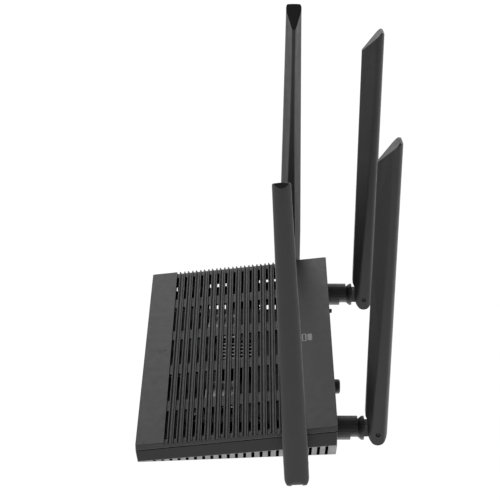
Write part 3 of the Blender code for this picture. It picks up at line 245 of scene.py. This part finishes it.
def rubbery(name, colour):
    made = Recipe(name)
    dust = made.noise(240, 5.0, 0.65)
    base = made.mixed(dust, tuple(c * 0.8 for c in colour), tuple(c * 1.5 for c in colour))
    rough = made.ranged(dust, 0.72, 0.92)
    return made.finish(base, rough, made.bump(made.noise(3000), 0.00004, 0.4))


def turned_metal(name, colour, roughness, streak=(6, 6, 260)):
    """Bare metal with fine machining streaks and slight tarnish."""
    made = Recipe(name)
    made.shader.inputs["Metallic"].default_value = 1.0
    streaks = made.noise(40, 2.0, 0.5, stretch=streak)
    tarnish = made.noise(300, 4.0, 0.6)
    base = made.mixed(tarnish, tuple(c * 0.78 for c in colour), colour)
    rough = made.ranged(streaks, roughness - 0.08, roughness + 0.12)
    return made.finish(base, rough, made.bump(streaks, 0.00001, 0.25))


def solder_mask(name, colour):
    """Board lacquer with faint tracks showing through."""
    made = Recipe(name)
    tracks = made.add("ShaderNodeTexBrick")
    made.link(made.place, tracks.inputs["Vector"])
    tracks.inputs["Scale"].default_value = 90
    tracks.inputs["Mortar Size"].default_value = 0.03
    tracks.inputs["Color1"].default_value = (*colour, 1.0)
    tracks.inputs["Color2"].default_value = (*[c * 0.85 for c in colour], 1.0)
    tracks.inputs["Mortar"].default_value = (*[c * 1.8 for c in colour], 1.0)
    cloud = made.noise(120, 3.0)
    base = made.mixed(cloud, tracks.outputs["Color"], colour)
    rough = made.ranged(cloud, 0.28, 0.42)
    return made.finish(base, rough, made.bump(tracks.outputs["Fac"], 0.00002, 0.3))


def print_ink(name, colour):
    """Screen-printed ink: even, with the plastic's grain just showing."""
    made = Recipe(name)
    speck = made.noise(2600, 3.0, 0.6)
    thin = made.noise(500, 3.0, 0.6)
    base = made.mixed(thin, tuple(c * 0.86 for c in colour), colour)
    rough = made.ranged(speck, 0.45, 0.6)
    return made.finish(base, rough, made.bump(speck, 0.00002, 0.35))


def clear_plastic(name, colour):
    made = Recipe(name)
    made.shader.inputs["Transmission Weight"].default_value = 0.6
    cloud = made.noise(900, 3.0)
    base = made.mixed(cloud, tuple(c * 0.85 for c in colour), colour)
    rough = made.ranged(cloud, 0.12, 0.3)
    return made.finish(base, rough)


COVER = moulded("cover_plastic", (0.0095, 0.0095, 0.0100), 0.42, radius=0.0005)
CASE = moulded("case_plastic", (0.0085, 0.0085, 0.0090), 0.40, specular=0.38)
BLADE = moulded("antenna_plastic", (0.0135, 0.0135, 0.0140), 0.40, depth=0.000025)
HINGE = moulded("hinge_plastic", (0.0240, 0.0240, 0.0245), 0.48, depth=0.000018, specular=0.45)
SOCKET = moulded("socket_plastic", (0.012, 0.012, 0.013), 0.38, depth=0.000012)
CHIP = moulded("chip_resin", (0.014, 0.014, 0.014), 0.5, depth=0.00002)
RUBBER = rubbery("foot_rubber", (0.012, 0.012, 0.012))
STEEL = turned_metal("screw_steel", (0.42, 0.42, 0.43), 0.34)
PIN_STEEL = turned_metal("pin_steel", (0.035, 0.035, 0.037), 0.36)
BRASS = turned_metal("element_brass", (0.62, 0.46, 0.19), 0.34)
TINNED = turned_metal("shield_tinned", (0.60, 0.61, 0.62), 0.30, (20, 20, 20))
ALUMINIUM = turned_metal("sink_aluminium", (0.52, 0.53, 0.54), 0.42, (8, 300, 8))
GOLD = turned_metal("contact_gold", (0.72, 0.52, 0.20), 0.25)
BOARD = solder_mask("board_mask", (0.006, 0.016, 0.010))
INK = print_ink("mark_ink", (0.46, 0.46, 0.47))
DARK_INK = print_ink("status_ink", (0.004, 0.004, 0.004))
CLEAR = clear_plastic("light_clear", (0.012, 0.012, 0.013))

SLOT_FINISH = {
    "cover_black": COVER,
    "case_black": CASE,
    "antenna_black": BLADE,
    "hinge_black": HINGE,
    "foot_rubber": RUBBER,
    "screw_steel": STEEL,
    "element_brass": BRASS,
    "board_green": BOARD,
    "chip_black": CHIP,
    "shield_tinned": TINNED,
    "sink_aluminium": ALUMINIUM,
    "socket_black": SOCKET,
    "light_clear": CLEAR,
}


def repaint(node, material):
    """Give every slot of a carried-over node one finish."""
    piece = frame["nodes"][node]
    if not piece.material_slots:
        piece.data.materials.append(material)
    for place in piece.material_slots:
        place.material = material


for entry in frame["record"]["subparts"]:
    repaint(entry["node"], SLOT_FINISH[entry["material_slot"]])
for name in ANTENNAS:
    repaint(f"antenna_pin_{name}", PIN_STEEL)


# ------------------------------------------------------------------ trim

def piece_from(shape, name, material, body):
    """Turn a finished bmesh into a piece that rides on a body."""
    bmesh.ops.remove_doubles(shape, verts=shape.verts, dist=1e-7)
    bmesh.ops.recalc_face_normals(shape, faces=shape.faces)
    mesh = bpy.data.meshes.new(name)
    shape.to_mesh(mesh)
    shape.free()
    mesh.materials.append(material)
    made = bpy.data.objects.new(name, mesh)
    bpy.context.scene.collection.objects.link(made)
    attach(made, body)
    return made


def rounded_plate(shape, middle, size, radius, segments=6):
    """A flat plate with round corners, on z = 0."""
    place = Matrix.Translation((*middle, 0)) @ Matrix.Diagonal((size[0] / 2, size[1] / 2, 1, 1))
    made = bmesh.ops.create_grid(shape, x_segments=1, y_segments=1, size=1, matrix=place)
    bmesh.ops.bevel(
        shape, geom=made["verts"], offset=radius, offset_type="OFFSET", affect="VERTICES",
        segments=segments, profile=0.5, material=-1,
    )
    shape.faces.ensure_lookup_table()
    return shape.faces[-1]


def opened(shape, plate, wall):
    """Leave a ring of a plate, as wide as wall."""
    bmesh.ops.inset_region(
        shape, faces=[plate], thickness=wall, use_boundary=True, use_even_offset=True,
    )
    bmesh.ops.delete(shape, geom=[plate], context="FACES")


def raised(shape, height):
    """Give every flat face on z = 0 a thickness."""
    grown = bmesh.ops.extrude_face_region(shape, geom=shape.faces[:])
    lifted = [item for item in grown["geom"] if isinstance(item, bmesh.types.BMVert)]
    bmesh.ops.translate(shape, vec=(0, 0, height), verts=lifted)


def on_cover(shape, x, y):
    """Lay a shape made on z = 0 on the sloped cover."""
    bmesh.ops.transform(shape, matrix=TOP_TILT, verts=shape.verts)
    bmesh.ops.translate(shape, vec=(x, y, top_height(y)), verts=shape.verts)


def make_emblem():
    """A plain printed device: an open lozenge beside a solid one."""
    shape = bmesh.new()
    plate = rounded_plate(shape, (0, OPEN_LOZENGE_Y), OPEN_LOZENGE_SIZE, OPEN_LOZENGE_RADIUS)
    opened(shape, plate, OPEN_LOZENGE_WALL)
    rounded_plate(shape, (0, SOLID_LOZENGE_Y), SOLID_LOZENGE_SIZE, SOLID_LOZENGE_RADIUS)
    raised(shape, PRINT_HEIGHT)
    on_cover(shape, 0.0, FRONT_Y + EMBLEM_FROM_FRONT)
    return piece_from(shape, "cover_emblem", INK, "case")


def make_light_mark():
    """A small dark ring printed in front of the status light."""
    shape = bmesh.new()
    plate = rounded_plate(shape, (0, 0), (LIGHT_MARK_SIZE, LIGHT_MARK_SIZE), LIGHT_MARK_RADIUS)
    opened(shape, plate, LIGHT_MARK_WALL)
    raised(shape, PRINT_HEIGHT)
    on_cover(shape, 0.0, FRONT_Y + LIGHT_MARK_FROM_FRONT)
    return piece_from(shape, "light_mark", DARK_INK, "case")


def make_contacts(opening):
    """Eight sprung contacts that hang from a socket's ceiling and lean inwards."""
    low, high = opening["box_m"]
    middle = (low[0] + high[0]) / 2
    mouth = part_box("lan_socket_block")[1].y
    ceiling = high[2] + CONTACT_INTO_CEILING
    path = [(mouth - depth, ceiling - drop) for depth, drop in CONTACT_PATH]
    shape = bmesh.new()
    for number in range(CONTACTS):
        x = middle + (number - (CONTACTS - 1) / 2) * CONTACT_PITCH
        line = [shape.verts.new((x - CONTACT_WIDTH / 2, y, z)) for y, z in path]
        edges = [shape.edges.new(pair) for pair in zip(line, line[1:])]
        strip = bmesh.ops.extrude_edge_only(shape, edges=edges)["geom"]
        moved = [item for item in strip if isinstance(item, bmesh.types.BMVert)]
        bmesh.ops.translate(shape, vec=(CONTACT_WIDTH, 0, 0), verts=moved)
    bmesh.ops.recalc_face_normals(shape, faces=shape.faces)
    bmesh.ops.solidify(shape, geom=shape.faces[:], thickness=CONTACT_THICKNESS)
    return piece_from(shape, f"{opening['name']}_contacts", GOLD, "case")


for opening in frame["record"]["physics"]["openings"]:
    make_contacts(opening)
make_emblem()
make_light_mark()

# ------------------------------------------------------------------ floor, light, camera

def make_floor():
    shape = bmesh.new()
    bmesh.ops.create_grid(shape, x_segments=2, y_segments=2, size=FLOOR_HALF)
    mesh = bpy.data.meshes.new("floor")
    shape.to_mesh(mesh)
    shape.free()
    floor = bpy.data.objects.new("floor", mesh)
    bpy.context.scene.collection.objects.link(floor)
    made = Recipe("floor_paper")
    made.shader.inputs["Roughness"].default_value = 0.9
    made.shader.inputs["Specular IOR Level"].default_value = 0.1
    made.shader.inputs["Base Color"].default_value = (0.06, 0.06, 0.06, 1.0)
    made.shader.inputs["Emission Color"].default_value = (1.0, 1.0, 1.0, 1.0)
    made.shader.inputs["Emission Strength"].default_value = FLOOR_GLOW
    mesh.materials.append(made.material)


def make_world():
    world = bpy.data.worlds.new("studio")
    bpy.context.scene.world = world
    world.use_nodes = True
    background = world.node_tree.nodes["Background"]
    background.inputs["Color"].default_value = (1.0, 1.0, 1.0, 1.0)
    background.inputs["Strength"].default_value = WORLD_GLOW


def make_softbox(name, place, aim, size, power, spread=180.0):
    data = bpy.data.lights.new(name, "AREA")
    data.shape = "RECTANGLE"
    data.size, data.size_y = size
    data.energy = power
    data.spread = math.radians(spread)
    lamp = bpy.data.objects.new(name, data)
    bpy.context.scene.collection.objects.link(lamp)
    lamp.location = place
    lamp.rotation_mode = "QUATERNION"
    lamp.rotation_quaternion = (Vector(aim) - Vector(place)).to_track_quat("-Z", "Y")


def make_camera():
    data = bpy.data.cameras.new("camera")
    data.sensor_width = SENSOR
    data.lens = CAMERA_LENS
    data.clip_start = 0.01
    data.clip_end = 50
    camera = bpy.data.objects.new("camera", data)
    bpy.context.scene.collection.objects.link(camera)
    camera.location = CAMERA_PLACE
    camera.rotation_euler = [math.radians(turn) for turn in CAMERA_TURN]
    bpy.context.scene.camera = camera


make_floor()
make_world()
make_softbox("backdrop", BACKDROP_PLACE, BACKDROP_AIM, BACKDROP_SIZE, BACKDROP_POWER)
make_softbox(
    "light_table", LIGHT_TABLE_PLACE, LIGHT_TABLE_AIM, LIGHT_TABLE_SIZE, LIGHT_TABLE_POWER,
    LIGHT_TABLE_SPREAD,
)
make_camera()
bpy.context.scene.view_settings.view_transform = "Standard"
